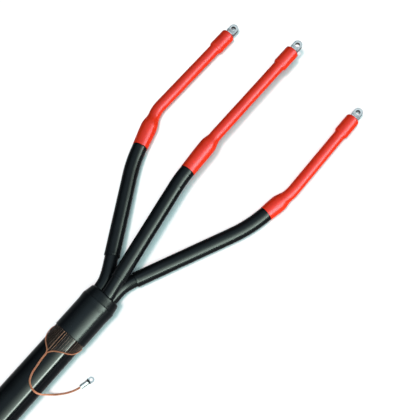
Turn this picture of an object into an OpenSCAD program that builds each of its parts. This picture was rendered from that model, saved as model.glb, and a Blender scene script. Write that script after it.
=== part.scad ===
// Three-core cable termination, lying on the floor with its cable along X and its lugs at the +X end.
// The cores leave a breakout boot side by side. Each runs under a black core tube and a red sealing tube
// and ends in a tinned lug. The wires of the cable's screen fold back over the sheath, gather on top of
// it and leave as one earth pigtail.

/* [Cable] */
// Length of cable behind the boot's mouth
cable_len = 180; // [130:1:240]
// Bedding between the cores and the screen wires
bedding_cover = 0.9; // [0.6:0.1:2.5]
// Wall of the sheath
sheath_wall = 2.6; // [2:0.1:4]
// Length of sheath inside the boot
sheath_under = 40; // [25:1:42]
// Length of bedding that stands out past the sheath's end
bedding_show = 8; // [5:0.5:14]

/* [Cores] */
// Diameter of a conductor
conductor_od = 8.2; // [6:0.1:9]
// Diameter over a core's insulation
insulation_od = 16; // [14.6:0.1:16.6]
// Diameter over a core's screen
core_od = 18; // [17:0.1:18.4]
// Distance from the cable's axis to a core's axis
core_pitch = 13.5; // [13.3:0.1:14]
// Turn of the three cores about the cable's axis
core_turn = 25; // [10:1:40]
// Clearance between one layer and the next
layer_gap = 0.1; // [0.08:0.01:0.15]

/* [Arms] */
// Where each core starts to bend out, from the boot's mouth
bend_at = [80, 77, 98]; // [76:1:110]
// Angle at which each arm leaves the boot
out_deg = [30.5, 10.5, 24]; // [10:0.5:34]
// Angle of each arm under the bulge of its red tube
bulge_deg = [19, 3.5, 9.5]; // [2:0.5:22]
// Angle at which each arm turns back in at its end
toe_deg = [0.5, 0, 1]; // [0:0.5:4]
// Distance of each red tube's end from the boot's mouth
arm_reach = [560, 596, 574]; // [520:1:640]
// Sideways place of each red tube's end
arm_y = [150.5, 40, -110.5]; // [-140:0.5:180]
// How far the middle arm sinks on its way out
middle_drop = 5; // [0:1:12]
// Bend radius where a core leaves the boot
root_bend_r = 60; // [45:1:80]
// Bend radius along a core tube
tube_bend_r = 240; // [150:5:300]
// Bend radius just past a red tube's bulge
neck_bend_r = 60; // [45:1:100]

/* [Boot] */
// Length of the boot's body
boot_len = 82; // [78:1:92]
// Wall at the mouth
boot_wall = 1.2; // [0.8:0.1:2.5]
// How far the shoulder flares out past the mouth
flare_rise = 0.9; // [0.4:0.1:2]
// Distance of the shoulder from the mouth
flare_at = 63; // [58:1:66]
// How far the bevel falls in from the shoulder to the top
bevel_in = 3; // [2:0.25:4]
// Rounding of the top's edge
crown_r = 4; // [2:0.5:5]
// Wall of the top between the cavity and the fingers
crown_wall = 10; // [8:0.5:14]
// Outside diameter at the root of a finger
root_od = 22.8; // [22.6:0.1:23]
// Outside diameter of a finger
finger_od = 22; // [21.2:0.1:22.4]
// Straight length of each finger that shows past its bend
finger_show = [28, 24, 9]; // [8:1:40]
// Length of a finger inside its core tube
finger_lap = 15; // [10:1:24]

/* [Core tubes] */
// Outside diameter of a core tube
tube_od = 25; // [24.4:0.1:25.1]
// Diameter of its end inside the red tube
tube_end_od = 22.6; // [21.8:0.1:22.8]
// Length of that end inside the red tube
tube_in = 14; // [10:0.5:18]

/* [Red tubes] */
// Outside diameter of the straight stretch
red_od = 19.7; // [18.9:0.1:20.4]
// Wall of a red tube over the bulge and the lug
red_wall = 1.5; // [1.2:0.1:1.7]
// Diameter of the lower lip
lip_od = 25.8; // [25.2:0.1:26.6]
// Largest diameter of the bulge
bulge_od = 27.6; // [26.8:0.1:28.6]
// Length from each lip to the largest diameter
bulge_rise = [30, 44, 18]; // [16:1:50]
// Length of the largest diameter
bulge_hold = 8; // [4:1:14]
// Length from the largest diameter down to the straight stretch
bulge_fall = 22; // [18:1:34]
// Diameter over the lug's barrel
top_od = 24.2; // [22.6:0.1:25.4]
// Length of the wider end
top_len = 38; // [34:1:46]
// Length of the step up to the wider end
top_step = 5; // [3:0.5:8]
// Rounding of the outer edge at the end
top_round = 2.5; // [1:0.1:3]

/* [Lugs] */
// Diameter of a lug's barrel
barrel_od = 14.5; // [13:0.1:15]
// Length of the barrel inside the red tube
barrel_in = 26; // [22:0.5:27]
// Width of the palm
palm_w = 15.4; // [14:0.1:18]
// Thickness of the palm
palm_t = 7; // [4:0.1:8]
// Length of the palm past the red tube's end
palm_len = 21.5; // [20:0.5:30]
// Distance of the bolt hole from the red tube's end
hole_at = 13; // [12:0.5:15]
// Diameter of the bolt hole
hole_d = 8.4; // [6:0.1:9]

/* [Earth connection] */
// Number of wires in the cable's screen
wires = 84; // [24:1:96]
// Diameter of a screen wire
wire_d = 0.6; // [0.5:0.02:0.7]
// Diameter of a wire bundle where it joins the pigtail
bundle_d = 2; // [1.4:0.1:2.2]
// Diameter of the pigtail
pigtail_d = 3; // [2:0.1:3.4]
// Outside diameter of the earth lug's barrel
earth_barrel_od = 6.6; // [6:0.1:8]
// Length of the earth lug's barrel
earth_barrel_len = 13; // [12:0.5:15]
// Width of the earth lug's palm
earth_palm_w = 9; // [8.4:0.1:11]
// Thickness of the earth lug's palm
earth_palm_t = 2; // [1.2:0.1:2.6]
// Length of the earth lug's palm
earth_palm_len = 10.5; // [10:0.5:13]
// Diameter of the earth lug's hole
earth_hole_d = 5.3; // [4:0.1:5.6]

/* [Hidden] */
$fn = 64;

left = 0;
middle = 1;
right = 2;

// Every straight runs this far into the bend or the turned shape at its end, which is a little fatter
lap = 1;
swell = 0.05;

conductor_r = conductor_od / 2;
insulation_r = insulation_od / 2;
core_r = core_od / 2;
tube_r = tube_od / 2;
tube_end_r = tube_end_od / 2;
red_r = red_od / 2;
lip_r = lip_od / 2;
bulge_r = bulge_od / 2;
top_r = top_od / 2;
barrel_r = barrel_od / 2;
finger_r = finger_od / 2;
root_r = root_od / 2;
wire_r = wire_d / 2;
pigtail_r = pigtail_d / 2;
earth_barrel_r = earth_barrel_od / 2;

// Radii from the cores outwards: the bedding, the screen wires inside the sheath, the sheath, the wires
// folded back over it, and the boot
bedding_r = core_pitch + core_r + bedding_cover;
inner_run_r = bedding_r + layer_gap / 2 + wire_r;
sheath_r = inner_run_r + wire_r + layer_gap / 2 + sheath_wall;
outer_run_r = sheath_r + layer_gap / 2 + wire_r;
boot_bore_r = outer_run_r + wire_r + layer_gap / 2;
mouth_r = boot_bore_r + boot_wall;
flare_r = mouth_r + flare_rise;
wire_fold_r = (outer_run_r - inner_run_r) / 2;
wire_fold_x = sheath_under + layer_gap;

// The boot's flare lies on the floor, and the cable runs level from it
axis_h = flare_r;

// The boot's cavity: a bore over the folded wires, a short cone and a narrower end
fold_room = 4;
cone_len = 4;
cavity_r = bedding_r + 1;
cavity_end = boot_len - crown_wall;
bedding_end = sheath_under + bedding_show;

// Lengths along an arm near the bulge: the lip stands a little way into the straight that holds the bulge,
// and the straight ends a little past it
lip_in = 6;
bulge_out = 2;
stress_short = 12;
screen_past = 6;
tube_taper = 4.5;
tube_taper_out = 1.5;
function bulge_len(i) = bulge_rise[i] + bulge_hold + bulge_fall;
function bulge_run(i) = lip_in + bulge_len(i) + bulge_out;
function screen_in(i) = bulge_rise[i] + screen_past;
function stress_end(i) = bulge_len(i) - stress_short;

// Places at the lug end, from the red tube's end
insulation_end = barrel_in + 1;
end_lip = 2;
mastic_r = top_r - red_wall - layer_gap;

// The arms

core_angle = [120 - core_turn, -core_turn, -120 - core_turn];

function core_y(i) = core_pitch * sin(core_angle[i]);
function core_z(i) = axis_h + core_pitch * cos(core_angle[i]);
function side_run(i) = abs(arm_y[i] - core_y(i));

// Lengths left for the two free straights of an arm that spreads sideways by w
function rest_x(i) =
    arm_reach[i] - bend_at[i] - root_bend_r * sin(out_deg[i])
    - tube_bend_r * (sin(out_deg[i]) - sin(bulge_deg[i])) - bulge_run(i) * cos(bulge_deg[i])
    - neck_bend_r * (sin(bulge_deg[i]) + sin(toe_deg[i]));
function rest_w(i, w) =
    w - root_bend_r * (1 - cos(out_deg[i])) - tube_bend_r * (cos(bulge_deg[i]) - cos(out_deg[i]))
    - bulge_run(i) * sin(bulge_deg[i]) - neck_bend_r * (cos(toe_deg[i]) - cos(bulge_deg[i]));
function out_run(i, w) =
    (rest_x(i) * sin(toe_deg[i]) + rest_w(i, w) * cos(toe_deg[i])) / sin(out_deg[i] + toe_deg[i]);
function end_run(i, w) =
    (rest_x(i) * sin(out_deg[i]) - rest_w(i, w) * cos(out_deg[i])) / sin(out_deg[i] + toe_deg[i]);

// The outer arms sink until their bulge or their wide end all but touches the floor
function bulge_short(i) =
    (bulge_fall + bulge_out) * sin(bulge_deg[i])
    + neck_bend_r * (cos(toe_deg[i]) - cos(bulge_deg[i])) - end_run(i, side_run(i)) * sin(toe_deg[i]);
function bulge_share(i) = bulge_short(i) / side_run(i);
function top_dip(i) =
    (top_len - top_step) * sin(toe_deg[i]) * (core_z(i) - top_r) / side_run(i);
function arm_z(i) =
    i == middle
        ? core_z(i) - middle_drop
        : layer_gap + max(
            top_r + top_dip(i),
            (bulge_r - bulge_share(i) * core_z(i)) / (1 - bulge_share(i))
        );
function spread(i) = norm([arm_y[i] - core_y(i), arm_z(i) - core_z(i)]);
function arm_roll(i) = atan2(arm_z(i) - core_z(i), arm_y[i] - core_y(i));

// An arm's path from the cable's cut end: each entry is a straight, then a bend's radius and its angle
function arm_path(i) = [
    [cable_len + bend_at[i], root_bend_r, out_deg[i]],
    [out_run(i, spread(i)), tube_bend_r, bulge_deg[i] - out_deg[i]],
    [bulge_run(i), neck_bend_r, -bulge_deg[i] - toe_deg[i]],
    [end_run(i, spread(i)) + palm_len, 0, 0]
];
function bend_len(seg) = seg[1] * abs(seg[2]) * PI / 180;
function past(path, k) = k < 0 ? 0 : past(path, k - 1) + path[k][0] + bend_len(path[k]);

// Distances along an arm
function root_end(i) = past(arm_path(i), 0);
function tube_start(i) = root_end(i) + finger_show[i];
function lip_at(i) = past(arm_path(i), 1) + lip_in;
function red_end(i) = past(arm_path(i), 2) + end_run(i, spread(i));

// The part's origin lies under the middle of its box
function widest_y(i) =
    core_y(i) + cos(arm_roll(i))
    * (spread(i) + end_run(i, spread(i)) * sin(toe_deg[i]) + neck_bend_r * (1 - cos(toe_deg[i])));
center_x = (max(arm_reach) + palm_len - cable_len) / 2;
center_y = (widest_y(left) + widest_y(right)) / 2;

// Shared shapes

module placed() {
    translate([-center_x, -center_y, 0])
        children();
}

module on_cable() {
    translate([0, 0, axis_h])
        children();
}

module on_arm(i) {
    translate([-cable_len, core_y(i), core_z(i)])
        rotate([arm_roll(i), 0, 0])
            children();
}

// A round rod along X
module rod(from, to, r) {
    translate([from, 0, 0])
        rotate([0, 90, 0])
            cylinder(h = to - from, r = r);
}

// A profile of [radius, place along X] turned about X
module turned(points) {
    rotate([0, 90, 0])
        rotate_extrude()
            polygon(points);
}

module left_bend(bend_r, angle, r) {
    translate([0, bend_r, 0])
        rotate([0, 0, -90])
            rotate_extrude(angle = angle)
                translate([bend_r, 0])
                    circle(r = r);
}

module past_bend(bend_r, angle) {
    turn = sign(angle) * bend_r;
    translate([0, turn, 0])
        rotate([0, 0, angle])
            translate([0, -turn, 0])
                children();
}

// A round bar that follows a path between two distances along it
module bar(path, from, to, r, k = 0, at = 0) {
    seg = path[k];
    straight_end = at + seg[0];
    bend_end = straight_end + bend_len(seg);
    start = from < at ? at - lap : from;
    stop = to > straight_end ? straight_end + lap : to;
    if (stop > start)
        translate([-at, 0, 0])
            rod(start, stop, r);
    if (from <= straight_end && to >= bend_end && abs(seg[2]) > 0)
        translate([seg[0], 0, 0])
            mirror([0, seg[2] < 0 ? 1 : 0, 0])
                left_bend(seg[1], abs(seg[2]), r + swell);
    if (k < len(path) - 1 && to > bend_end)
        translate([seg[0], 0, 0])
            past_bend(seg[1], seg[2])
                bar(path, from, to, r, k + 1, bend_end);
}

// Places its children at a distance along a path, on one of its straights
module along(path, s, k = 0, at = 0) {
    seg = path[k];
    bend_end = at + seg[0] + bend_len(seg);
    if (k == len(path) - 1 || s <= at + seg[0])
        translate([s - at, 0, 0])
            children();
    else
        translate([seg[0], 0, 0])
            past_bend(seg[1], seg[2])
                along(path, s, k + 1, bend_end)
                    children();
}

function ease(t) = (1 - cos(180 * t)) / 2;
function blend(a, b, t) = a + (b - a) * ease(min(1, max(0, t)));

// Cable

module cable_sheath() {
    color([0.07, 0.08, 0.09])
        placed() on_cable()
            difference() {
                rod(-cable_len, sheath_under, sheath_r);
                rod(-cable_len - lap, sheath_under + lap, sheath_r - sheath_wall);
            }
}

module cable_bedding() {
    color([0.2, 0.2, 0.2])
        placed()
            difference() {
                on_cable()
                    rod(-cable_len, bedding_end, bedding_r);
                for (i = [left : right])
                    translate([0, core_y(i), core_z(i)])
                        rod(-cable_len - lap, bedding_end + lap, core_r + layer_gap);
            }
}

// Earth connection

// Routes of the two wire bundles round the sheath: place from the mouth, and angle from the top
left_route = [
    [-2.5, 176], [-2.5, 160], [-2.5, 144], [-2.5, 128], [-3, 112], [-4, 98], [-8, 84],
    [-14, 72], [-20, 62], [-25, 50], [-29, 38], [-33, 24], [-36, 14], [-39, 8]
];
right_route = [
    [-2.5, -176], [-2.5, -160], [-2.5, -144], [-2.5, -128], [-3, -114], [-5, -100], [-9, -88],
    [-14, -76], [-18.5, -64], [-22, -50], [-25, -36], [-28.5, -22], [-33, -8], [-39, 2]
];

// Route of the pigtail: place from the mouth, sideways, and height above the cable's axis or the floor
pigtail_on_sheath = [
    [-40.5, 5], [-47, 4], [-54, 3], [-61, 1], [-68, -1], [-75, -3], [-81, -7], [-86, -12], [-90, -20],
    [-93, -31], [-94.5, -44], [-94.5, -58], [-93.5, -72]
];
pigtail_free = [
    [-92, -29, 27], [-89.5, -31, 20], [-86.5, -34, 13.5], [-83, -37.5, 8], [-79, -41.5, 5], [-74, -46, 4],
    [-68.5, -50.5, 3.5], [-62.5, -54.5, 3.3], [-56, -58, 3.3], [-50, -60.4, 3.3], [-44, -62, 3.3],
    [-38, -63.5, 3.3]
];
earth_lug_at = [-47, -61.2];
earth_lug_turn = -14;

// Diameter of a bundle where it starts under the cable
bundle_start_d = 1;

// Room that the flat sides of a swept tube need over the round sheath
route_clear = 0.3;

function bundle_r_at(route, j) = (bundle_start_d + (bundle_d - bundle_start_d) * j / (len(route) - 1)) / 2;
function round_sheath(place, r) = [place[0], r * sin(place[1]), axis_h + r * cos(place[1])];
function bundle_points(route) = [
    for (j = [0 : len(route) - 1])
        round_sheath(route[j], sheath_r + wire_d + route_clear + bundle_r_at(route, j))
];
function unit(v) = v / norm(v);
function heading(points, j) = unit(points[min(j + 1, len(points) - 1)] - points[max(j - 1, 0)]);
function square_off(v, t) = unit(v - (v * t) * t);
function sides_from(points, j, side) =
    j == len(points)
        ? []
        : let (next = square_off(side, heading(points, j)))
            concat([next], sides_from(points, j + 1, next));

// A tube along points, with one ring of sides at each of them
module swept(points, radii, sides = 8) {
    across = sides_from(points, 0, [0, 0.1, 1]);
    rings = len(points);
    corners = [
        for (j = [0 : rings - 1])
            let (t = heading(points, j), u = across[j], v = cross(t, u))
                for (k = [0 : sides - 1])
                    points[j] + radii[j] * (cos(360 * k / sides) * u + sin(360 * k / sides) * v)
    ];
    walls = [
        for (j = [0 : rings - 2])
            for (k = [0 : sides - 1])
                [
                    j * sides + k, (j + 1) * sides + k,
                    (j + 1) * sides + (k + 1) % sides, j * sides + (k + 1) % sides
                ]
    ];
    first = [for (k = [0 : sides - 1]) k];
    last = [for (k = [sides - 1 : -1 : 0]) (rings - 1) * sides + k];
    polyhedron(corners, concat(walls, [first], [last]), convexity = 6);
}

// The place where a wire at an angle from the top reaches its bundle
function fan_table(route) = [for (p = route) [p[1], p[0]]];
function fan_end(angle) =
    angle > left_route[len(left_route) - 1][1]
        ? lookup(angle, fan_table(left_route))
        : lookup(angle, fan_table(right_route));

module screen_wire(angle) {
    rotate([-angle, 0, 0]) {
        translate([0, 0, inner_run_r])
            rod(-cable_len, wire_fold_x + wire_r / 2, wire_r);
        translate([wire_fold_x, 0, inner_run_r + wire_fold_r])
            rotate([90, 0, 0])
                rotate([0, 0, -90])
                    rotate_extrude(angle = 180)
                        translate([wire_fold_r, 0])
                            circle(r = wire_r + swell);
        translate([0, 0, outer_run_r])
            rod(fan_end(angle), wire_fold_x + wire_r / 2, wire_r);
    }
}

module screen_wires() {
    step = 360 / wires;
    color([0.62, 0.32, 0.2])
        placed() on_cable()
            for (k = [0 : wires - 1])
                screen_wire((k + 0.5) * step - 180, $fn = 16);
}

module wire_bundle(route) {
    color([0.75, 0.4, 0.26])
        placed()
            swept(bundle_points(route), [for (j = [0 : len(route) - 1]) bundle_r_at(route, j)]);
}

function pigtail_points() = concat(
    [for (p = pigtail_on_sheath) round_sheath(p, sheath_r + route_clear + pigtail_r)],
    pigtail_free
);

module earth_pigtail() {
    points = pigtail_points();
    color([0.75, 0.4, 0.26])
        placed()
            swept(points, [for (p = points) pigtail_r]);
}

module earth_lug() {
    neck = 2;
    barrel_stop = 2;
    eye = earth_barrel_len + earth_palm_len - earth_palm_w / 2;
    color([0.8, 0.8, 0.8])
        placed()
            translate([earth_lug_at[0], earth_lug_at[1], 0])
                rotate([0, 0, earth_lug_turn])
                    difference() {
                        union() {
                            translate([0, 0, earth_barrel_r])
                                rod(0, earth_barrel_len, earth_barrel_r);
                            hull() {
                                translate([earth_barrel_len - lap, 0, earth_barrel_r])
                                    rod(0, lap / 2, earth_barrel_r - 2 * swell, $fn = 32);
                                translate([earth_barrel_len + neck, -earth_palm_w / 2 + swell, swell])
                                    cube([lap, earth_palm_w - 2 * swell, earth_palm_t - 2 * swell]);
                            }
                            translate([earth_barrel_len + neck, -earth_palm_w / 2, 0])
                                cube([eye - earth_barrel_len - neck, earth_palm_w, earth_palm_t]);
                            translate([eye, 0, 0])
                                cylinder(h = earth_palm_t, d = earth_palm_w);
                        }
                        translate([0, 0, earth_barrel_r])
                            rod(-lap, earth_barrel_len - barrel_stop, pigtail_r + layer_gap);
                        translate([eye, 0, -lap])
                            cylinder(h = earth_palm_t + 2 * lap, d = earth_hole_d);
                    }
}

// Boot

module boot_body() {
    bevel_r = flare_r - bevel_in;
    mouth_round = 0.6;
    flare_hold = 2;
    flare_round = 0.6;
    swell_run = 14;
    steps = 6;
    bevel_x = boot_len - crown_r;
    mouth = [[mouth_r - mouth_round, 0], [mouth_r, mouth_round]];
    flare = [
        for (j = [0 : steps])
            [blend(mouth_r, flare_r, j / steps), flare_at - swell_run + swell_run * j / steps]
    ];
    edge = [
        [flare_r, flare_at + flare_hold],
        [flare_r - flare_round, flare_at + flare_hold + 2 * flare_round]
    ];
    crown = [
        for (j = [0 : steps])
            [
                bevel_r - crown_r + crown_r * cos(90 * j / steps),
                bevel_x + crown_r * sin(90 * j / steps)
            ]
    ];
    turned(concat([[0, 0]], mouth, flare, edge, crown, [[0, boot_len]]));
}

module breakout_boot() {
    cone_start = sheath_under + fold_room;
    cone_end = cone_start + cone_len;
    finger_start = cable_len + cavity_end - lap;
    color([0.09, 0.1, 0.11])
        placed()
            difference() {
                union() {
                    on_cable()
                        boot_body();
                    for (i = [left : right])
                        on_arm(i) {
                            bar(arm_path(i), finger_start, root_end(i), root_r);
                            bar(arm_path(i), finger_start, tube_start(i) + finger_lap, finger_r);
                        }
                }
                on_cable()
                    turned([
                        [0, -lap], [boot_bore_r, -lap], [boot_bore_r, cone_start],
                        [cavity_r, cone_end], [cavity_r, cavity_end], [0, cavity_end]
                    ]);
                for (i = [left : right])
                    on_arm(i)
                        bar(
                            arm_path(i), cable_len + sheath_under, tube_start(i) + finger_lap + lap,
                            core_r + layer_gap
                        );
            }
}

module crotch_mastic() {
    color([0.15, 0.15, 0.14])
        placed()
            difference() {
                on_cable()
                    rod(bedding_end + layer_gap, cavity_end - layer_gap, cavity_r - layer_gap);
                for (i = [left : right])
                    on_arm(i)
                        bar(arm_path(i), cable_len + sheath_under, tube_start(i), core_r + layer_gap);
            }
}

// Cores

module conductor(i) {
    color([0.72, 0.4, 0.25])
        placed() on_arm(i)
            bar(arm_path(i), 0, red_end(i) - end_lip, conductor_r);
}

module insulation(i) {
    color([0.92, 0.9, 0.84])
        placed() on_arm(i)
            difference() {
                bar(arm_path(i), 0, red_end(i) - insulation_end, insulation_r);
                bar(arm_path(i), -lap, red_end(i), conductor_r + layer_gap);
            }
}

module core_screen(i) {
    color([0.14, 0.14, 0.14])
        placed() on_arm(i)
            difference() {
                bar(arm_path(i), 0, lip_at(i) + screen_in(i), core_r);
                bar(arm_path(i), -lap, lip_at(i) + screen_in(i) + lap, insulation_r + layer_gap);
            }
}

// Tubes

// Outside of a core tube's end, from the red tube's lip
function tube_end_profile(grow) = [
    [tube_r - swell + grow, -tube_taper_out],
    [tube_end_r + grow, tube_taper - tube_taper_out]
];

module core_tube(i) {
    color([0.08, 0.09, 0.1])
        placed() on_arm(i)
            difference() {
                union() {
                    bar(arm_path(i), tube_start(i), lip_at(i) - tube_taper_out, tube_r);
                    along(arm_path(i), lip_at(i))
                        turned(concat(
                            [[0, -tube_taper_out - lap], [tube_r - swell, -tube_taper_out - lap]],
                            tube_end_profile(0),
                            [[tube_end_r, tube_in], [0, tube_in]]
                        ));
                }
                bar(arm_path(i), tube_start(i) - lap, lip_at(i) + tube_in + lap, core_r + layer_gap);
                bar(
                    arm_path(i), tube_start(i) - lap, tube_start(i) + finger_lap + layer_gap,
                    finger_r + layer_gap
                );
            }
}

// Outside radius of a red tube's bulge at a distance from its lip
function red_out(i, x) =
    x < bulge_rise[i]
        ? blend(lip_r, bulge_r, x / bulge_rise[i])
        : blend(bulge_r, red_r + swell, (x - bulge_rise[i] - bulge_hold) / bulge_fall);

function bulge_curve(i, from, to, steps, inset) = [
    for (j = [0 : steps])
        let (x = from + (to - from) * j / steps)
            [red_out(i, x) - inset, x]
];

module stress_tube(i) {
    start = tube_in + layer_gap;
    stop = stress_end(i) - layer_gap;
    color([0.1, 0.1, 0.11])
        placed() on_arm(i)
            along(arm_path(i), lip_at(i))
                difference() {
                    turned(concat(
                        [[0, start]], bulge_curve(i, start, stop, 16, red_wall + layer_gap), [[0, stop]]
                    ));
                    rod(start - lap, stop + lap, insulation_r + layer_gap);
                    rod(start - lap, screen_in(i) + layer_gap, core_r + layer_gap);
                }
}

module red_bulge(i) {
    hold_end = bulge_rise[i] + bulge_hold;
    turned(concat(
        [[0, 0]], bulge_curve(i, 0, bulge_rise[i], 8, 0), bulge_curve(i, hold_end, bulge_len(i), 20, 0),
        [[0, bulge_len(i)]]
    ));
}

module red_bulge_inside(i) {
    turned(concat(
        [[0, -tube_taper_out], [tube_r + layer_gap, -tube_taper_out]],
        tube_end_profile(layer_gap),
        [[tube_end_r + layer_gap, tube_in]],
        bulge_curve(i, tube_in + layer_gap, stress_end(i), 16, red_wall),
        [[0, stress_end(i)]]
    ));
}

// The wider end over the lug's barrel, from the red tube's end
module red_top() {
    steps = 8;
    step_up = [
        for (j = [0 : steps])
            [blend(red_r + swell, top_r, j / steps), -top_len + top_step * j / steps]
    ];
    edge = [
        for (j = [0 : steps])
            [
                top_r - top_round + top_round * cos(90 * j / steps),
                -top_round + top_round * sin(90 * j / steps)
            ]
    ];
    turned(concat([[0, -top_len]], step_up, edge, [[0, 0]]));
}

module red_top_inside() {
    bore_r = insulation_r + layer_gap + swell;
    turned([
        [0, -top_len], [bore_r, -top_len], [mastic_r + layer_gap, top_step - top_len],
        [mastic_r + layer_gap, -end_lip], [barrel_r + 2 * layer_gap, -end_lip],
        [barrel_r + 2 * layer_gap, lap], [0, lap]
    ]);
}

module red_tube(i) {
    color([0.86, 0.24, 0.14])
        placed() on_arm(i)
            difference() {
                union() {
                    along(arm_path(i), lip_at(i))
                        red_bulge(i);
                    bar(arm_path(i), lip_at(i) + bulge_len(i) - lap, red_end(i) - top_len + lap, red_r);
                    along(arm_path(i), red_end(i))
                        red_top();
                }
                along(arm_path(i), lip_at(i))
                    red_bulge_inside(i);
                bar(
                    arm_path(i), lip_at(i) + stress_end(i) - lap, red_end(i) - top_len + lap,
                    insulation_r + layer_gap
                );
                along(arm_path(i), red_end(i))
                    red_top_inside();
            }
}

// Lugs

module lug_mastic(i) {
    start = top_step - top_len + layer_gap;
    stop = -end_lip - layer_gap;
    color([0.2, 0.2, 0.19])
        placed() on_arm(i)
            along(arm_path(i), red_end(i))
                difference() {
                    rod(start, stop, mastic_r);
                    rod(start - lap, stop + lap, barrel_r + layer_gap);
                    rod(start - lap, layer_gap - insulation_end, insulation_r + layer_gap);
                }
}

module palm() {
    neck = 5;
    root_step = 0.5;
    palm_r = palm_w / 2;
    hull() {
        rod(-lap, -lap / 2, barrel_r - root_step, $fn = 32);
        translate([neck, swell - palm_r, swell - palm_t / 2])
            cube([lap, palm_w - 2 * swell, palm_t - 2 * swell]);
    }
    translate([0, 0, -palm_t / 2])
        linear_extrude(palm_t)
            union() {
                translate([neck, -palm_r])
                    square([palm_len - palm_r - neck, palm_w]);
                translate([palm_len - palm_r, 0])
                    circle(r = palm_r);
            }
}

module lug(i) {
    color([0.8, 0.8, 0.79])
        placed() on_arm(i)
            along(arm_path(i), red_end(i))
                rotate([-arm_roll(i), 0, 0])
                    difference() {
                        union() {
                            rod(-barrel_in, 0, barrel_r);
                            palm();
                        }
                        rod(-barrel_in - lap, layer_gap - end_lip, conductor_r + layer_gap);
                        translate([hole_at, 0, -palm_t])
                            cylinder(h = 2 * palm_t, d = hole_d);
                    }
}

cable_sheath();
cable_bedding();
screen_wires();
wire_bundle(left_route);  // left_wire_bundle
wire_bundle(right_route);  // right_wire_bundle
earth_pigtail();
earth_lug();
breakout_boot();
crotch_mastic();
conductor(left);  // left_conductor
conductor(middle);  // middle_conductor
conductor(right);  // right_conductor
insulation(left);  // left_insulation
insulation(middle);  // middle_insulation
insulation(right);  // right_insulation
core_screen(left);  // left_core_screen
core_screen(middle);  // middle_core_screen
core_screen(right);  // right_core_screen
core_tube(left);  // left_core_tube
core_tube(middle);  // middle_core_tube
core_tube(right);  // right_core_tube
stress_tube(left);  // left_stress_tube
stress_tube(middle);  // middle_stress_tube
stress_tube(right);  // right_stress_tube
red_tube(left);  // left_red_tube
red_tube(middle);  // middle_red_tube
red_tube(right);  // right_red_tube
lug_mastic(left);  // left_lug_mastic
lug_mastic(middle);  // middle_lug_mastic
lug_mastic(right);  // right_lug_mastic
lug(left);  // left_lug
lug(middle);  // middle_lug
lug(right);  // right_lug
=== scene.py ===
# %% [markdown]
# # A cable termination, dressed for its portrait
# A thick power cable ends here in three lugs. A boot seals the place where the cores part, black tubes cover
# the cores, red tubes seal their ends, and the copper wires of the cable's screen come back over the sheath.
# The solids are made elsewhere at their real size. This lesson gives them skins, wires and finishes.

# %% Load the solids
import math

import bmesh
import bpy
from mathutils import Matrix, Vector, noise


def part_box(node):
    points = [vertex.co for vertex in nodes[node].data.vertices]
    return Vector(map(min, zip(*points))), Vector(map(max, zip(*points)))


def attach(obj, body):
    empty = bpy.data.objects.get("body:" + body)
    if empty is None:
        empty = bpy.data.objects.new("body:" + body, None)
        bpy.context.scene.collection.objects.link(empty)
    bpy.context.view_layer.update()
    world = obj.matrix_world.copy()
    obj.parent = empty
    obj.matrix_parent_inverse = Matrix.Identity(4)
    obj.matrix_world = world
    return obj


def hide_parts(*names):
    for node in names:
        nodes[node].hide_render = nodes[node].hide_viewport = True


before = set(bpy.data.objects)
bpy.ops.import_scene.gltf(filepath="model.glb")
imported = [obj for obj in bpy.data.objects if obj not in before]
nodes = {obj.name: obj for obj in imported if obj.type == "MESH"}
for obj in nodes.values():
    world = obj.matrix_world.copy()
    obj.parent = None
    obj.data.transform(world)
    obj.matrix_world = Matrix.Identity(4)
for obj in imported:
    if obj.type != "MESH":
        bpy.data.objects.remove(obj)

MM = 0.001
ARMS = ("left", "middle", "right")
scene = bpy.context.scene
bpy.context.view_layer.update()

sheath_low, sheath_high = (Vector(corner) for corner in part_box("cable_sheath"))
cable_axis = (sheath_low + sheath_high) / 2
sheath_r = (sheath_high.z - sheath_low.z) / 2
cut_x = sheath_low.x
mouth_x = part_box("breakout_boot")[0][0]
print(f"{len(nodes)} solids, sheath radius {sheath_r / MM:.1f} mm, boot mouth at x {mouth_x / MM:.1f} mm")

# %% [markdown]
# ## Camera
# The photograph looks down steeply on an object that lies flat, with a long lens. The camera stands off from
# one point between the arms, so its place follows from a distance and two angles.

# %% Camera
AIM = Vector((0.07375, -0.05346, 0.03))
DISTANCE = 1.347
AZIMUTH = math.radians(-49.7)
ELEVATION = math.radians(73)
LENS_MM = 72

looking = Vector((
    -math.sin(AZIMUTH) * math.cos(ELEVATION),
    math.cos(AZIMUTH) * math.cos(ELEVATION),
    -math.sin(ELEVATION),
))
camera = bpy.data.objects.new("camera", bpy.data.cameras.new("camera"))
camera.data.lens = LENS_MM
camera.location = AIM - DISTANCE * looking
camera.rotation_euler = looking.to_track_quat("-Z", "Y").to_euler()
scene.collection.objects.link(camera)
scene.camera = camera
print("camera at", [round(c, 3) for c in camera.location])

# %% [markdown]
# ## Effects that several finishes share
# No real surface has one even colour and shine. Three small node groups make what differs over a surface:
# slow clouds of tone, streaks from drawing or extruding, and the fine pebble of a moulding. Each is built
# once and placed in a material with its own numbers.

# %% Node helpers


def add_node(tree, kind, inputs=None, **settings):
    """A new node with its settings and its unlinked inputs."""
    node = tree.nodes.new(kind)
    for key, value in settings.items():
        setattr(node, key, value)
    for key, value in (inputs or {}).items():
        node.inputs[key].default_value = value
    return node


def new_group(name, inputs, output):
    """An empty shader group with number inputs and one number output."""
    group = bpy.data.node_groups.new(name, "ShaderNodeTree")
    for socket, value in inputs.items():
        made = group.interface.new_socket(socket, in_out="INPUT", socket_type="NodeSocketFloat")
        made.default_value = value
    group.interface.new_socket(output, in_out="OUTPUT", socket_type="NodeSocketFloat")
    return group, group.nodes.new("NodeGroupInput"), group.nodes.new("NodeGroupOutput")


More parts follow.
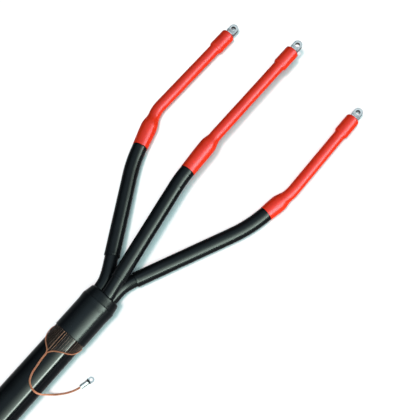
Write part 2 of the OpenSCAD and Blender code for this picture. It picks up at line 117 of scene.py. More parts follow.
# %% Clouds of tone
clouds, clouds_in, clouds_out = new_group("clouds", {"Scale": 30.0, "Low": 0.0, "High": 1.0}, "Value")
coords = add_node(clouds, "ShaderNodeTexCoord")
cloud_noise = add_node(clouds, "ShaderNodeTexNoise", {"Detail": 4.0, "Roughness": 0.55})
spread = add_node(clouds, "ShaderNodeMapRange", {"From Min": 0.3, "From Max": 0.7})
clouds.links.new(coords.outputs["Object"], cloud_noise.inputs["Vector"])
clouds.links.new(clouds_in.outputs["Scale"], cloud_noise.inputs["Scale"])
clouds.links.new(cloud_noise.outputs["Fac"], spread.inputs["Value"])
clouds.links.new(clouds_in.outputs["Low"], spread.inputs["To Min"])
clouds.links.new(clouds_in.outputs["High"], spread.inputs["To Max"])
clouds.links.new(spread.outputs["Result"], clouds_out.inputs["Value"])
print("clouds:", len(clouds.nodes), "nodes")

# %% Streaks along the cable
streaks, streaks_in, streaks_out = new_group("streaks", {"Along": 6.0, "Across": 500.0}, "Height")
coords = add_node(streaks, "ShaderNodeTexCoord")
stretch = add_node(streaks, "ShaderNodeCombineXYZ")
scaled = add_node(streaks, "ShaderNodeVectorMath", operation="MULTIPLY")
streak_noise = add_node(streaks, "ShaderNodeTexNoise", {"Scale": 1.0, "Detail": 3.0})
streaks.links.new(streaks_in.outputs["Along"], stretch.inputs["X"])
streaks.links.new(streaks_in.outputs["Across"], stretch.inputs["Y"])
streaks.links.new(streaks_in.outputs["Across"], stretch.inputs["Z"])
streaks.links.new(coords.outputs["Object"], scaled.inputs[0])
streaks.links.new(stretch.outputs["Vector"], scaled.inputs[1])
streaks.links.new(scaled.outputs["Vector"], streak_noise.inputs["Vector"])
streaks.links.new(streak_noise.outputs["Fac"], streaks_out.inputs["Height"])
print("streaks:", len(streaks.nodes), "nodes")

# %% Pebble of a moulding
pebble, pebble_in, pebble_out = new_group("pebble", {"Scale": 900.0}, "Height")
coords = add_node(pebble, "ShaderNodeTexCoord")
grains = add_node(pebble, "ShaderNodeTexVoronoi", feature="SMOOTH_F1")
pebble.links.new(coords.outputs["Object"], grains.inputs["Vector"])
pebble.links.new(pebble_in.outputs["Scale"], grains.inputs["Scale"])
pebble.links.new(grains.outputs["Distance"], pebble_out.inputs["Height"])
print("groups:", [g.name for g in bpy.data.node_groups])

# %% [markdown]
# ## Finishes
# Each finish is a Principled shader. Its two tones and its shine come from the clouds, and its bump from
# streaks or pebble. What is the same all over, such as metalness, is set on the shader's own socket. On the
# sheath, the boot and the tubes a Layer Weight lowers the gloss towards the rim, because they stay dark there
# and don't mirror the white ground.

# %% One finish
PATCH = 40.0
BUMP_STRENGTH = 0.5
BUMP_HEIGHT = 0.02 * MM

# Scale of the patches of shine against those of tone
HAZE_SCALE = 2.3

# Slants between which the gloss falls, and what is left of it
RIM = (0.16, 0.30)
RIM_GLOSS = 0.02


def place_group(tree, group, **inputs):
    """A copy of a shared effect with its own numbers."""
    return add_node(tree, "ShaderNodeGroup", inputs, node_tree=group).outputs[0]


def fade_gloss(tree, shader, gloss):
    """Lowers a shader's gloss towards the rim of what it covers."""
    shader.inputs["Specular IOR Level"].default_value = gloss
    slant = add_node(tree, "ShaderNodeLayerWeight")
    fade = add_node(
        tree, "ShaderNodeMapRange",
        {"From Min": RIM[0], "From Max": RIM[1], "To Min": gloss, "To Max": RIM_GLOSS},
        interpolation_type="SMOOTHSTEP",
    )
    tree.links.new(slant.outputs["Facing"], fade.inputs["Value"])
    tree.links.new(fade.outputs["Result"], shader.inputs["Specular IOR Level"])


def finish(name, dark, light, shine, patch=PATCH, bump=None, gloss=None, **sockets):
    """A material in patches of two tones and two roughnesses, with a bump and a fading gloss if given."""
    material = bpy.data.materials.new(name)
    material.use_nodes = True
    tree = material.node_tree
    shader = tree.nodes["Principled BSDF"]
    for key, value in sockets.items():
        shader.inputs[key.replace("_", " ")].default_value = value
    tones = add_node(tree, "ShaderNodeMix", data_type="RGBA")
    tones.inputs["A"].default_value = (*dark, 1)
    tones.inputs["B"].default_value = (*light, 1)
    tree.links.new(place_group(tree, clouds, Scale=patch), tones.inputs["Factor"])
    tree.links.new(tones.outputs["Result"], shader.inputs["Base Color"])
    haze = place_group(tree, clouds, Scale=patch * HAZE_SCALE, Low=shine[0], High=shine[1])
    tree.links.new(haze, shader.inputs["Roughness"])
    if gloss:
        fade_gloss(tree, shader, gloss)
    if bump:
        group, inputs = bump
        relief = add_node(tree, "ShaderNodeBump", {"Strength": BUMP_STRENGTH, "Distance": BUMP_HEIGHT})
        tree.links.new(place_group(tree, group, **inputs), relief.inputs["Height"])
        tree.links.new(relief.outputs["Normal"], shader.inputs["Normal"])
    return material


# %% Black and red plastics
extruded = (streaks, {"Along": 8.0, "Across": 600.0})
moulded = (pebble, {"Scale": 1100.0})

sheath_black = finish(
    "sheath_black", (0.0035, 0.0042, 0.0050), (0.0055, 0.0065, 0.0075), (0.10, 0.15),
    bump=extruded, gloss=0.24,
)
boot_black = finish(
    "boot_black", (0.0045, 0.0055, 0.0065), (0.0065, 0.0080, 0.0095), (0.22, 0.28),
    bump=moulded, gloss=0.36,
)
tube_black = finish(
    "tube_black", (0.0035, 0.0042, 0.0050), (0.0060, 0.0072, 0.0085), (0.21, 0.27),
    bump=extruded, gloss=0.34,
)
sleeve_red = finish(
    "sleeve_red", (0.80, 0.031, 0.007), (0.90, 0.042, 0.011), (0.34, 0.42),
    bump=extruded, gloss=0.50, Specular_Tint=(1.0, 0.72, 1.0, 1),
)
print("plastics:", [m.name for m in (sheath_black, boot_black, tube_black, sleeve_red)])

# %% Metals and inner layers
TIN_PATCH = 120.0
SHADE_PATCH = 200.0
WIRE_PATCH = 300.0
drawn = (streaks, {"Along": 60.0, "Across": 2600.0})

tin = finish(
    "tin", (0.70, 0.73, 0.75), (0.80, 0.82, 0.82), (0.13, 0.22), TIN_PATCH, drawn, Metallic=0.72
)
# Painted shade: a near-black tin for the lugs' steep walls, standing for the shade they lie in. Its roughness
# is higher too.
tin_painted_shade = finish(
    "tin_painted_shade", (0.035, 0.038, 0.040), (0.080, 0.085, 0.088), (0.40, 0.55), SHADE_PATCH, drawn, Metallic=0.8
)
bright_copper = finish(
    "bright_copper", (0.82, 0.30, 0.15), (0.92, 0.44, 0.26), (0.30, 0.45), WIRE_PATCH, Metallic=0.7
)
# A lighter copper tone, given to the two wires that part at the top.
lighter_copper = finish(
    "lighter_copper", (0.24, 0.105, 0.065), (0.36, 0.17, 0.11), (0.30, 0.45), WIRE_PATCH, Metallic=1.0
)
dull_copper = finish(
    "dull_copper", (0.080, 0.050, 0.044), (0.17, 0.105, 0.090), (0.22, 0.34), WIRE_PATCH, Metallic=1.0
)
# Painted shade: a darker copper for every second wire of the fan, standing for the shade the other wires
# cast.
copper_painted_shade = finish(
    "copper_painted_shade", (0.012, 0.007, 0.006), (0.035, 0.020, 0.016), (0.25, 0.38), WIRE_PATCH, Metallic=1.0
)
core_plastic = finish(
    "core_plastic", (0.72, 0.69, 0.60), (0.80, 0.77, 0.69), (0.38, 0.50), bump=drawn
)
core_black = finish(
    "core_black", (0.010, 0.010, 0.010), (0.018, 0.018, 0.018), (0.50, 0.65), bump=moulded
)
filler_grey = finish(
    "filler_grey", (0.030, 0.030, 0.029), (0.050, 0.049, 0.046), (0.65, 0.80), bump=moulded
)
print("metals:", [m.name for m in (tin, tin_painted_shade, bright_copper, lighter_copper, dull_copper, copper_painted_shade)])
print("inner layers:", [m.name for m in (core_plastic, core_black, filler_grey)])

# %% [markdown]
# ## Turning work into pieces
# A piece is a mesh that rides with the object and may stand for a solid, which is then hidden. Its faces are
# smooth and its real edges stay hard.

# %% Piece helpers
HARD_EDGE = math.radians(33)


def shade(bm, hard):
    """Makes a skin smooth, but for the edges that turn by more than an angle."""
    for face in bm.faces:
        face.smooth = True
    for edge in bm.edges:
        edge.smooth = edge.calc_face_angle(math.pi) < hard


def add_mesh(mesh, name, material, slot, *solids):
    """A piece from a mesh, in place of the solids it names."""
    piece = bpy.data.objects.new(name, mesh)
    scene.collection.objects.link(piece)
    piece.data.materials.clear()
    piece.data.materials.append(material)
    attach(piece, "root")
    if solids:
        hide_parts(*solids)
    print(f"{name}: {len(mesh.polygons)} faces")
    return piece


def add_piece(bm, name, material, slot, *solids, hard=HARD_EDGE):
    """A piece from a bmesh, smooth but for its hard edges."""
    shade(bm, hard)
    mesh = bpy.data.meshes.new(name)
    bm.to_mesh(mesh)
    bm.free()
    return add_mesh(mesh, name, material, slot, *solids)


# %% [markdown]
# ## The earth pigtail
# The screen's wires are twisted into one tail that leaves the gather point on top of the sheath, falls off
# its side and lies on the floor, with a crimp lug on its end. The photograph shows all of it. It is laid as
# six strands round a seventh, which a curve with several splines makes in one go.

# %% Routes over the sheath
PIGTAIL_D = 3.0
ROUTE_CLEAR = 0.3
WIRE_D = 0.6
PER_SPAN = 6

# Place along the cable from the boot's mouth, in mm, and degrees from the top
PIGTAIL_ON_SHEATH = [
    (-40.5, 5), (-47, 4), (-54, 3), (-61, 1), (-68, -1), (-75, -3), (-81, -7), (-86, -12), (-90, -20),
    (-93, -31), (-94.5, -44), (-94.5, -58), (-93.5, -72),
]

# Place along the cable from the boot's mouth, to its side and above the floor, in mm
PIGTAIL_FREE = [
    (-92, -29, 27), (-89.5, -31, 20), (-86.5, -34, 13.5), (-83, -37.5, 8), (-79, -41.5, 5), (-74, -46, 4),
    (-68.5, -50.5, 3.5), (-62.5, -54.5, 3.3), (-56, -58, 3.3), (-50, -60.4, 3.3), (-44, -62, 3.3),
    (-38, -63.5, 3.3),
]


def over_sheath(place, turn, height):
    """A point over the sheath: place along the cable and height in mm, turn in degrees from the top."""
    r = sheath_r + height * MM
    angle = math.radians(turn)
    return Vector((
        mouth_x + place * MM, cable_axis.y + r * math.sin(angle), cable_axis.z + r * math.cos(angle)
    ))


def beside_cable(place, side, height):
    """A point over the floor: place along the cable, to its side and up, in mm."""
    return Vector((mouth_x + place * MM, cable_axis.y + side * MM, height * MM))


def smooth_line(points):
    """Points along one smooth curve that passes through the given ones."""
    ends = [2 * points[0] - points[1], *points, 2 * points[-1] - points[-2]]
    line = []
    for a, b, c, d in zip(ends, ends[1:], ends[2:], ends[3:]):
        for step in range(PER_SPAN):
            t = step / PER_SPAN
            bend = (2 * a - 5 * b + 4 * c - d) * t * t + (3 * b - a - 3 * c + d) * t**3
            line.append(b + 0.5 * ((c - a) * t + bend))
    return line + [points[-1]]


pigtail_height = ROUTE_CLEAR + PIGTAIL_D / 2
pigtail_points = [over_sheath(place, turn, pigtail_height) for place, turn in PIGTAIL_ON_SHEATH]
pigtail_points += [beside_cable(*point) for point in PIGTAIL_FREE]
pigtail_line = smooth_line(pigtail_points)

# %% Strands laid along a line
STRANDS = 6
STRAND_ROUNDNESS = 2
SEAM = 0.001 * MM
CAP_EDGE = math.radians(75)

# Radius of one strand as a share of the rope's
STRAND_SHARE = 1 / 3


def wire_curve(name, r, roundness):
    """An empty curve whose splines become round wires with closed ends."""
    curve = bpy.data.curves.new(name, "CURVE")
    curve.dimensions = "3D"
    curve.bevel_depth = r
    curve.bevel_resolution = roundness
    curve.use_fill_caps = True
    return curve


def curve_mesh(curve, name):
    """A curve's surface as a mesh with its end caps sewn on, and the curve gone."""
    carrier = bpy.data.objects.new(name + "_line", curve)
    scene.collection.objects.link(carrier)
    view = bpy.context.evaluated_depsgraph_get()
    mesh = bpy.data.meshes.new_from_object(carrier.evaluated_get(view))
    bpy.data.objects.remove(carrier)
    bpy.data.curves.remove(curve)
    bm = bmesh.new()
    bm.from_mesh(mesh)
    bmesh.ops.remove_doubles(bm, verts=bm.verts, dist=SEAM)
    shade(bm, CAP_EDGE)
    bm.to_mesh(mesh)
    bm.free()
    mesh.name = name
    return mesh


def rope(name, line, radii, lay):
    """Strands laid round a middle one along a line, one turn in each lay length."""
    curve = wire_curve(name, 1.0, STRAND_ROUNDNESS)
    splines = [curve.splines.new("POLY") for _ in range(STRANDS + 1)]
    for spline in splines:
        spline.points.add(len(line) - 1)
    side = Vector((0, 0, 1))
    run = 0.0
    for j, (point, r) in enumerate(zip(line, radii)):
        ahead = (line[min(j + 1, len(line) - 1)] - line[max(j - 1, 0)]).normalized()
        side = (side - side.dot(ahead) * ahead).normalized()
        across = ahead.cross(side)
        run += (point - line[max(j - 1, 0)]).length
        for k, spline in enumerate(splines):
            turn = 2 * math.pi * (k / STRANDS + run / lay)
            away = 0 if k == STRANDS else r * (1 - STRAND_SHARE)
            spot = point + away * (math.cos(turn) * side + math.sin(turn) * across)
            spline.points[j].co = (*spot, 1)
            spline.points[j].radius = r * STRAND_SHARE
    return curve_mesh(curve, name)


# %% The pigtail
PIGTAIL_LAY = 22 * MM
pigtail_radii = [PIGTAIL_D / 2 * MM] * len(pigtail_line)
pigtail_mesh = rope("pigtail_strands", pigtail_line, pigtail_radii, PIGTAIL_LAY)
pigtail = add_mesh(pigtail_mesh, "pigtail_strands", bright_copper, "copper_wire", "earth_pigtail")

# %% [markdown]
# ## Lugs
# A lug is tinned copper: a barrel crimped on the conductor and a flat palm with a bolt hole. The solid has
# the right form with knife edges. Its skin is first welded and cleaned to whole flat faces, because a bevel
# on loose triangles would tear. The weld is coarse enough to take up the shortest edges, which would hold the
# bevel back. Then the hard edges are bevelled. The sheared walls get a duller finish of their own, which is
# also painted near black as painted shade, for the shade that the walls stand in.

# %% Welded skins
WELD = 0.01 * MM
FLAT = math.radians(0.5)
EASE_STEPS = 3


def welded(solid, reach=WELD):
    """A solid's skin with its loose triangles welded."""
    bm = bmesh.new()
    bm.from_mesh(nodes[solid].data)
    bmesh.ops.remove_doubles(bm, verts=bm.verts, dist=reach)
    bmesh.ops.dissolve_degenerate(bm, edges=bm.edges, dist=WELD)
    return bm


def ease_edges(bm, size, angle):
    """Rounds every edge that turns by more than an angle."""
    bmesh.ops.dissolve_limit(
        bm, angle_limit=FLAT, use_dissolve_boundaries=False, verts=bm.verts, edges=bm.edges
    )
    hard = [edge for edge in bm.edges if edge.calc_face_angle(0) > angle]
    bmesh.ops.bevel(
        bm, geom=hard, offset=size, offset_type="OFFSET", affect="EDGES", segments=EASE_STEPS, profile=0.5,
        material=-1, clamp_overlap=True,
    )


# %% The four lugs
LUG_WELD = 0.2 * MM
LUG_EASE = 0.6 * MM
EARTH_LUG_EASE = 0.3 * MM
SQUARE_EDGE = math.radians(60)

# A face counts as a wall if its normal rises by less than this
LUG_WALL = 0.6
EARTH_LUG_WALL = 0.75


def add_lug(solid, name, ease, wall):
    """A lug's skin with eased edges, tinned on its faces and with painted shade on its sheared walls."""
    skin = welded(solid, LUG_WELD)
    ease_edges(skin, ease, SQUARE_EDGE)
    lug = add_piece(skin, name, tin, "tinned_lug", solid)
    lug.data.materials.append(tin_painted_shade)
    for face in lug.data.polygons:
        # Steep faces take the painted shade.
        face.material_index = 1 if abs(face.normal.z) < wall else 0
    return lug


lugs = [add_lug(arm + "_lug", arm + "_tinned_lug", LUG_EASE, LUG_WALL) for arm in ARMS]
crimp_lug = add_lug("earth_lug", "crimp_lug", EARTH_LUG_EASE, EARTH_LUG_WALL)

# %% The pigtail ends in a lug
print("cord declared with", crimp_lug.name)

# %% [markdown]
# ## Wires folded back over the sheath
# The screen's wires come out of the boot side by side and run straight back, until each is taken up by a
# bundle that curves round the sheath to the gather point. A spline with few control points makes such a wire:
# straight, then leaning into the bundle. Every second wire is painted darker, as painted shade, because on a
# real screen some lie lower, in the shade of the others. Near the top two brighter wires part, and short
# stubs of all the wires show again at the cut end.

# %% Bundles round the sheath
BUNDLE_START_D = 1.0
BUNDLE_D = 2.0
BUNDLE_LAY = 18 * MM

# Place along the cable from the boot's mouth, in mm, and degrees from the top
LEFT_ROUTE = [
    (-2.5, 176), (-2.5, 160), (-2.5, 144), (-2.5, 128), (-3, 112), (-4, 98), (-8, 84),
    (-14, 72), (-20, 62), (-25, 50), (-29, 38), (-33, 24), (-36, 14), (-39, 8),
]
RIGHT_ROUTE = [
    (-2.5, -176), (-2.5, -160), (-2.5, -144), (-2.5, -128), (-3, -114), (-5, -100), (-9, -88),
    (-14, -76), (-18.5, -64), (-22, -50), (-25, -36), (-28.5, -22), (-33, -8), (-39, 2),
]
GATHER = [(-44, 5), (-50, 4)]


def bundle_r(share):
    """Radius of a bundle at a share of its length, in mm."""
    return (BUNDLE_START_D + (BUNDLE_D - BUNDLE_START_D) * min(share, 1)) / 2


def bundle_height(share):
    """Height of a bundle's middle over the sheath at a share of its length, in mm."""
    return WIRE_D + ROUTE_CLEAR + bundle_r(share)


bundles = []
for side, route in (("left", LEFT_ROUTE), ("right", RIGHT_ROUTE)):
    last = len(route) - 1
    points = []
    for j, (bundle_place, turn) in enumerate(route + GATHER):
        points.append(over_sheath(bundle_place, turn, bundle_height(j / last)))
    line = smooth_line(points)
    radii = [bundle_r(j / (PER_SPAN * last)) * MM for j in range(len(line))]
    name = side + "_bundle_strands"
    strands = rope(name, line, radii, BUNDLE_LAY)
    bundles.append(add_mesh(strands, name, bright_copper, "copper_wire", side + "_wire_bundle"))

# %% One wire of the fan
WIRE_ORDER = 3
WIRE_STEPS = 4
WIRE_ROUNDNESS = 1
CABLE_SIDE = 90


def route_at(route, t):
    """Place and turn at a fractional index along a route."""
    t = min(max(t, 0), len(route) - 1)
    j = min(int(t), len(route) - 2)
    return tuple(a + (b - a) * (t - j) for a, b in zip(route[j], route[j + 1]))


def meets(route, turn):
    """The fractional index where a route passes a turn, or its nearer end."""
    for j, ((_, a), (_, b)) in enumerate(zip(route, route[1:])):
        if min(a, b) <= turn <= max(a, b):
            return j + (turn - a) / (b - a)
    return 0 if abs(turn) > CABLE_SIDE else len(route) - 1


def add_wire(curve, points):
    """One smooth wire led by a few points."""
    spline = curve.splines.new("NURBS")
    spline.points.add(len(points) - 1)
    for spot, point in zip(spline.points, points):
        spot.co = (*point, 1)
    spline.order_u = WIRE_ORDER
    spline.use_endpoint_u = True
    spline.resolution_u = WIRE_STEPS


# %% Sizes of the fan
WIRES = 84

# Lengths in mm: off the sheath, under the boot, before the bundle, and in from the cut end
WIRE_GAP = 0.05
UNDER_BOOT = 10
LEAN = (9, 3)
CUT_STUB = 12

# Steps along the bundle's route at which a wire is taken up
TAKEN_UP = (0.4, 1.1)

# Degrees from the top between which the fan parts, and by how much
PARTING = (0, 8)
PARTED = 2.0

wire_lift = WIRE_D / 2 + WIRE_GAP
bedding_low, bedding_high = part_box("cable_bedding")
stub_height = (bedding_high[2] - bedding_low[2]) / 2 / MM + wire_lift - sheath_r / MM
cut_place = (cut_x - mouth_x) / MM
print(f"{WIRES} wires, {360 / WIRES:.2f} degrees apart, cut {-cut_place:.1f} mm behind the boot's mouth")

# %% The fan of wires


def wire_points(turn):
    """Points that lead a wire from under the boot into the bundle that takes it up."""
    route = LEFT_ROUTE if turn > LEFT_ROUTE[-1][1] else RIGHT_ROUTE
    t = meets(route, turn)
    end_place, _ = route_at(route, t)
    straight = (UNDER_BOOT, end_place + LEAN[0], end_place + LEAN[1])
    points = [over_sheath(place, turn, wire_lift) for place in straight]
    for step in TAKEN_UP:
        taken_place, taken_turn = route_at(route, t + step)
        height = bundle_height((t + step) / (len(route) - 1))
        points.append(over_sheath(taken_place, taken_turn, height))
    return points


fan, between, parting = (
    wire_curve(name, WIRE_D / 2 * MM, WIRE_ROUNDNESS)
    for name in ("screen_wire_fan", "wires_between", "parting_wires")
)
stub = (cut_place, cut_place + CUT_STUB / 2, cut_place + CUT_STUB)
for k in range(WIRES):
    turn = (k + 0.5) * 360 / WIRES - 180
    parted = PARTING[0] < turn < PARTING[1]
    if parted:
        turn += PARTED * (1 if turn > sum(PARTING) / 2 else -1)
    add_wire(parting if parted else between if k % 2 else fan, wire_points(turn))
    add_wire(fan, [over_sheath(place, turn, stub_height) for place in stub])
add_mesh(curve_mesh(fan, "screen_wire_fan"), "screen_wire_fan", dull_copper, "copper_wire", "screen_wires")
# The wires between carry the painted shade.
add_mesh(curve_mesh(between, "wires_between"), "wires_between", copper_painted_shade, "copper_wire")
add_mesh(curve_mesh(parting, "parting_wires"), "parting_wires", lighter_copper, "copper_wire")

# %% [markdown]
# ## Sheath and boot
# The sheath is an extruded tube and the boot a moulding that has shrunk on. Both solids have the right form,
# so each gets a welded skin. The boot's shoulder turns by a small angle only, so its edges count as hard
# sooner.

# %% Sheath and boot
SHOULDER_EDGE = math.radians(14)

outer_sheath = add_piece(
    welded("cable_sheath"), "outer_sheath", sheath_black, "sheath", "cable_sheath"
)
boot_moulding = add_piece(
    welded("breakout_boot"), "boot_moulding", boot_black, "boot", "breakout_boot", hard=SHOULDER_EDGE
)

# %% [markdown]
# ## Shrink tubes
# A tube that was shrunk with a flame is never quite even. Rings are cut into the welded skin so that it can
# bend, and a slow noise then moves it in and out by a fraction of a millimetre. Tubes that lie on each other
# move alike, because the noise reads only the place. The black tubes also roll up a little at the end that
# grips the boot, which shows as a thin ring.

# %% Wavy skins
RING = 4 * MM
WAVE_HEIGHT = 0.12 * MM
WAVE_LENGTH = 26 * MM


def cut_across(bm, spot, facing):
    """Cuts a skin along one plane."""
    geom = bm.verts[:] + bm.edges[:] + bm.faces[:]
    bmesh.ops.bisect_plane(bm, geom=geom, dist=WELD, plane_co=spot, plane_no=facing)


def cut_rings(bm, spacing):
    """Cuts rings across a skin at even places along the cable."""
    places = [v.co.x for v in bm.verts]
    low, high = min(places), max(places)
    for k in range(1, int((high - low) / spacing)):
        cut_across(bm, (low + k * spacing, 0, 0), (1, 0, 0))


def make_wavy(bm, height, length):
    """Moves a skin in and out by a slow noise."""
    bm.normal_update()
    moves = [height * noise.noise(v.co / length) * v.normal for v in bm.verts]
    for v, move in zip(bm.verts, moves):
        v.co += move


# %% Rolled rims
RIM_REACH = 13.4 * MM
ROLL_HEIGHTS = {"left": 0.20 * MM, "middle": 0.45 * MM, "right": 0.45 * MM}
ROLL_LENGTH = 4.0 * MM
ROLL_CUTS = 5


def roll_rim(bm, height):
    """Raises a low round roll on the end of a tube that is nearest to the boot."""
    near = min(v.co.x for v in bm.verts) + RIM_REACH
    rim = []
    for edge in bm.edges:
        a, b = (v.co.copy() for v in edge.verts)
        if edge.calc_face_angle(0) > SQUARE_EDGE and max(a.x, b.x) < near:
            rim.append((a, b))
    whole = sum((b - a).length for a, b in rim)
    centre = sum(((a + b) / 2 * (b - a).length for a, b in rim), Vector()) / whole
    mean_r = sum((a - centre).length * (b - a).length for a, b in rim) / whole
    along = Vector()
    for a, b in rim:
        turn = (a - centre).cross(b - centre)
        along += turn if turn.x > 0 else -turn
    along.normalize()
    for k in range(1, ROLL_CUTS + 1):
        cut_across(bm, centre + along * ROLL_LENGTH * k / ROLL_CUTS, along)
    for v in bm.verts:
        share = (v.co - centre).dot(along) / ROLL_LENGTH
        away = v.co - centre - along * share * ROLL_LENGTH
        if 0 < share < 1 and away.length > mean_r:
            v.co += away.normalized() * height * math.sin(math.pi * share)
    print(f"rim of mean radius {mean_r / MM:.1f} mm at x {centre.x / MM:.1f} mm")


# %% Tubes on the arms
for arm in ARMS:
    for solid, name, material in (
        ("_core_tube", "_black_tube", tube_black),
        ("_red_tube", "_red_sleeve", sleeve_red),
    ):
        skin = welded(arm + solid)
        if material is tube_black:
            roll_rim(skin, ROLL_HEIGHTS[arm])
        cut_rings(skin, RING)
        make_wavy(skin, WAVE_HEIGHT, WAVE_LENGTH)
        add_piece(skin, arm + name, material, solid[1:], arm + solid)

# %% [markdown]
# ## The cut end of the cable
# The cable is sawn square, so its section shows: bedding, core screens, insulation and stranded conductors.
# The strands are short round bars, one in the middle and two rings round it, set into a conductor that stops
# a little short.

# %% A conductor and its strands
STRAND_SET = 1.5 * MM
STRAND_R = 0.78 * MM

# Number of strands and radius of each ring, in mm
STRAND_RINGS = ((1, 0.0), (6, 1.66), (12, 3.3))


def add_conductor(arm):
    """A core's conductor, set back at the cut end, and the strands that show there."""
    rod = welded(arm + "_conductor")
    end = [v for v in rod.verts if v.co.x < cut_x + WELD]
    middle = sum((v.co for v in end), Vector()) / len(end)
    bmesh.ops.translate(rod, verts=end, vec=(STRAND_SET, 0, 0))
    add_piece(rod, arm + "_conductor_rod", bright_copper, "conductor", arm + "_conductor")
    name = arm + "_strand_ends"
    strands = wire_curve(name, STRAND_R, STRAND_ROUNDNESS)
    for count, ring_r in STRAND_RINGS:
        for k in range(count):
            angle = 2 * math.pi * k / count
            spot = middle + ring_r * MM * Vector((0, math.cos(angle), math.sin(angle)))
            spline = strands.splines.new("POLY")
            spline.points.add(1)
            spline.points[0].co = (*spot, 1)
            spline.points[1].co = (*(spot + Vector((2 * STRAND_SET, 0, 0))), 1)
    add_mesh(curve_mesh(strands, name), name, bright_copper, "conductor")


# %% Layers of the cut
add_piece(welded("cable_bedding"), "bedding_filler", filler_grey, "bedding", "cable_bedding")
for arm in ARMS:
    for solid, name, material in (
        ("_core_screen", "_black_layer", core_black),
        ("_insulation", "_pale_layer", core_plastic),
    ):
        add_piece(welded(arm + solid), arm + name, material, solid[1:], arm + solid)
    add_conductor(arm)

# %% [markdown]
# ## Pieces inside
# The stress tubes and the mastic are sealed in under the tubes and the boot. Their solids stay as they are,
# and each only gets a finish.

# %% Pieces inside


def dress(solid, material):
    """Gives a solid that stays in the scene its finish."""
    nodes[solid].data.materials.clear()
    nodes[solid].data.materials.append(material)


for arm in ARMS:
    dress(arm + "_stress_tube", core_black)
    dress(arm + "_lug_mastic", filler_grey)
dress("crotch_mastic", filler_grey)
print("finished inside:", 2 * len(ARMS) + 1, "solids")

# %% [markdown]
# ## Floor and light
# The photograph has a white ground, a soft light that draws a band down every tube, and a thin blue-green
# shadow to the lower right. Two soft lamps light the white floor alone, a warm one from the upper left and a
# blue-green one from near the camera, so the shadow of the warm one turns blue-green. On the object, a dim
# sky and one panel give the plain light. Graded panels that shine in gloss only draw the bands, because they
# would wash out the colours if they lit those too. Two small panels reach just the lugs, whose metal shows
# little but what it mirrors.

# %% Floor
FLOOR_SIZE = 30.0
FLOOR_PATCH = 3.0

ground = bmesh.new()
bmesh.ops.create_grid(ground, x_segments=1, y_segments=1, size=FLOOR_SIZE)
floor_mesh = bpy.data.meshes.new("floor")
ground.to_mesh(floor_mesh)
ground.free()
floor = bpy.data.objects.new("floor", floor_mesh)
floor.data.materials.append(finish(
    "floor_white", (0.90, 0.91, 0.91), (0.93, 0.93, 0.93), (0.85, 0.95), FLOOR_PATCH, Specular_IOR_Level=0.0
))
scene.collection.objects.link(floor)
print(f"floor reaches {FLOOR_SIZE:.0f} m to each side")

# %% Sky
LOW_SKY = 0.08
HIGH_SKY = 0.75
SKY_FALL = 4
SKY_TINT = (0.66, 0.93, 1.05, 1)

scene.world = bpy.data.worlds.new("studio")
scene.world.use_nodes = True
sky = scene.world.node_tree
sky_place = add_node(sky, "ShaderNodeTexCoord")
sky_up = add_node(sky, "ShaderNodeSeparateXYZ")
sky_fall = add_node(sky, "ShaderNodeMath", {1: SKY_FALL}, operation="POWER", use_clamp=True)
sky_level = add_node(sky, "ShaderNodeMapRange", {"To Min": LOW_SKY, "To Max": HIGH_SKY})
sky.links.new(sky_place.outputs["Generated"], sky_up.inputs["Vector"])
sky.links.new(sky_up.outputs["Z"], sky_fall.inputs[0])
sky.links.new(sky_fall.outputs["Value"], sky_level.inputs["Value"])
sky.nodes["Background"].inputs["Color"].default_value = SKY_TINT
sky.links.new(sky_level.outputs["Result"], sky.nodes["Background"].inputs["Strength"])
print(f"sky rises from {LOW_SKY} to {HIGH_SKY}")

# %% Light helpers
PANEL_FAR = 1.7
LAMP_FAR = 4.0


def add_light(name, kind, toward, distance, level, colour):
    """A light of any kind that faces the middle of the object."""
    lamp = bpy.data.lights.new(name, kind)
    lamp.energy = level
    lamp.color = colour
    light = bpy.data.objects.new(name, lamp)
    light.location = AIM + distance * Vector(toward).normalized()
    light.rotation_euler = Vector(toward).to_track_quat("Z", "Y").to_euler()
    scene.collection.objects.link(light)
    return light


def panel(name, toward, size, power, colour):
    """A soft rectangular light."""
    light = add_light(name, "AREA", toward, PANEL_FAR, power, colour)
    light.data.shape = "RECTANGLE"
    light.data.size, light.data.size_y = size
    return light


def wide_lamp(name, toward, softness, strength, colour):
    """A far, even light that spreads by a number of degrees."""
    light = add_light(name, "SUN", toward, LAMP_FAR, strength, colour)
    light.data.angle = math.radians(softness)
    return light


def link_light(light, state, *pieces):
    """Makes a light reach the given pieces alone, or all but them."""
    receivers = bpy.data.collections.new(light.name + "_receivers")
    for piece in pieces:
        receivers.objects.link(piece)
    for item in receivers.collection_objects:
        item.light_linking.link_state = state
    light.light_linking.receiver_collection = receivers
    print(light.name, state.lower() + "s", [piece.name for piece in pieces])


# %% Plain light on the object and the floor
SOFT_WHITE = (1.0, 0.98, 0.95)
FLOOR_WARM = (1.0, 0.70, 0.70)
FLOOR_TEAL = (0.70, 1.0, 0.97)
FLOOR_LEVEL = 1.85

key = panel("key_panel", toward=(-0.20, -0.63, 0.75), size=(1.8, 0.8), power=32, colour=SOFT_WHITE)
key.visible_glossy = False
link_light(key, "EXCLUDE", floor)
floor_key = wide_lamp(
    "floor_key_lamp", toward=(-0.215, 0.035, 0.975), softness=9, strength=FLOOR_LEVEL, colour=FLOOR_WARM
)
floor_fill = wide_lamp(
    "floor_fill_lamp", toward=(-0.22, -0.19, 0.96), softness=28, strength=FLOOR_LEVEL, colour=FLOOR_TEAL
)
link_light(floor_key, "INCLUDE", floor)
link_light(floor_fill, "INCLUDE", floor)

# %% Light on the lugs alone
COOL_WHITE = (0.80, 0.95, 1.0)

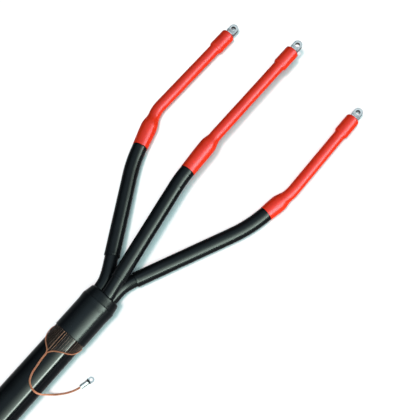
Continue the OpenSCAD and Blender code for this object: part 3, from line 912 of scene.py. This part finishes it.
lug_end = panel("lug_end_panel", toward=(0.95, 0.15, 0.28), size=(1.6, 1.0), power=4, colour=COOL_WHITE)
lug_top = panel("lug_top_panel", toward=(0.42, 0.22, 0.88), size=(1.2, 1.2), power=1.6, colour=SOFT_WHITE)
link_light(lug_end, "INCLUDE", *lugs)
link_light(lug_top, "INCLUDE", *lugs)

# %% Panels for the bands of gloss
BAND_TOWARD = (0.0, -0.56, 0.83)
BAND_GREEN = (0.80, 1.0, 0.88)
BAND_FALL = 2.2
LINE_GREEN = (0.88, 1.0, 0.90)


def grade_panel(light, side, low, high, fall):
    """Makes a panel shine in gloss only, rising across it from a low to a high place (0 and 1 are edges)."""
    light.visible_diffuse = False
    light.data.use_nodes = True
    tree = light.data.node_tree
    spot = add_node(tree, "ShaderNodeNewGeometry")
    sides = add_node(tree, "ShaderNodeSeparateXYZ")
    rise = add_node(tree, "ShaderNodeMapRange", {"From Min": low, "From Max": high})
    curve = add_node(tree, "ShaderNodeMath", {1: fall}, operation="POWER")
    tree.links.new(spot.outputs["Parametric"], sides.inputs["Vector"])
    tree.links.new(sides.outputs[side], rise.inputs["Value"])
    tree.links.new(rise.outputs["Result"], curve.inputs[0])
    tree.links.new(curve.outputs["Value"], tree.nodes["Emission"].inputs["Strength"])


band = panel("gloss_panel", BAND_TOWARD, size=(4.0, 2.3), power=496, colour=BAND_GREEN)
grade_panel(band, "Y", low=1.0, high=0.0, fall=BAND_FALL)
link_light(band, "EXCLUDE", floor, pigtail, boot_moulding, *lugs, *bundles)

# The boot's panel is shorter, so that the shoulder stands out
boot_band = panel("boot_panel", BAND_TOWARD, size=(1.1, 2.3), power=150, colour=BAND_GREEN)
grade_panel(boot_band, "Y", low=1.0, high=0.0, fall=BAND_FALL)
link_light(boot_band, "INCLUDE", boot_moulding)

# The sheath shows a narrow line besides, which fades towards the cut end
sheath_line = panel(
    "sheath_line_panel", toward=(0.0, -0.876, 0.482), size=(4.0, 0.26), power=122, colour=LINE_GREEN
)
grade_panel(sheath_line, "X", low=0.26, high=0.44, fall=1.0)
link_light(sheath_line, "INCLUDE", outer_sheath)

# %% Colour view
scene.view_settings.view_transform = "Standard"
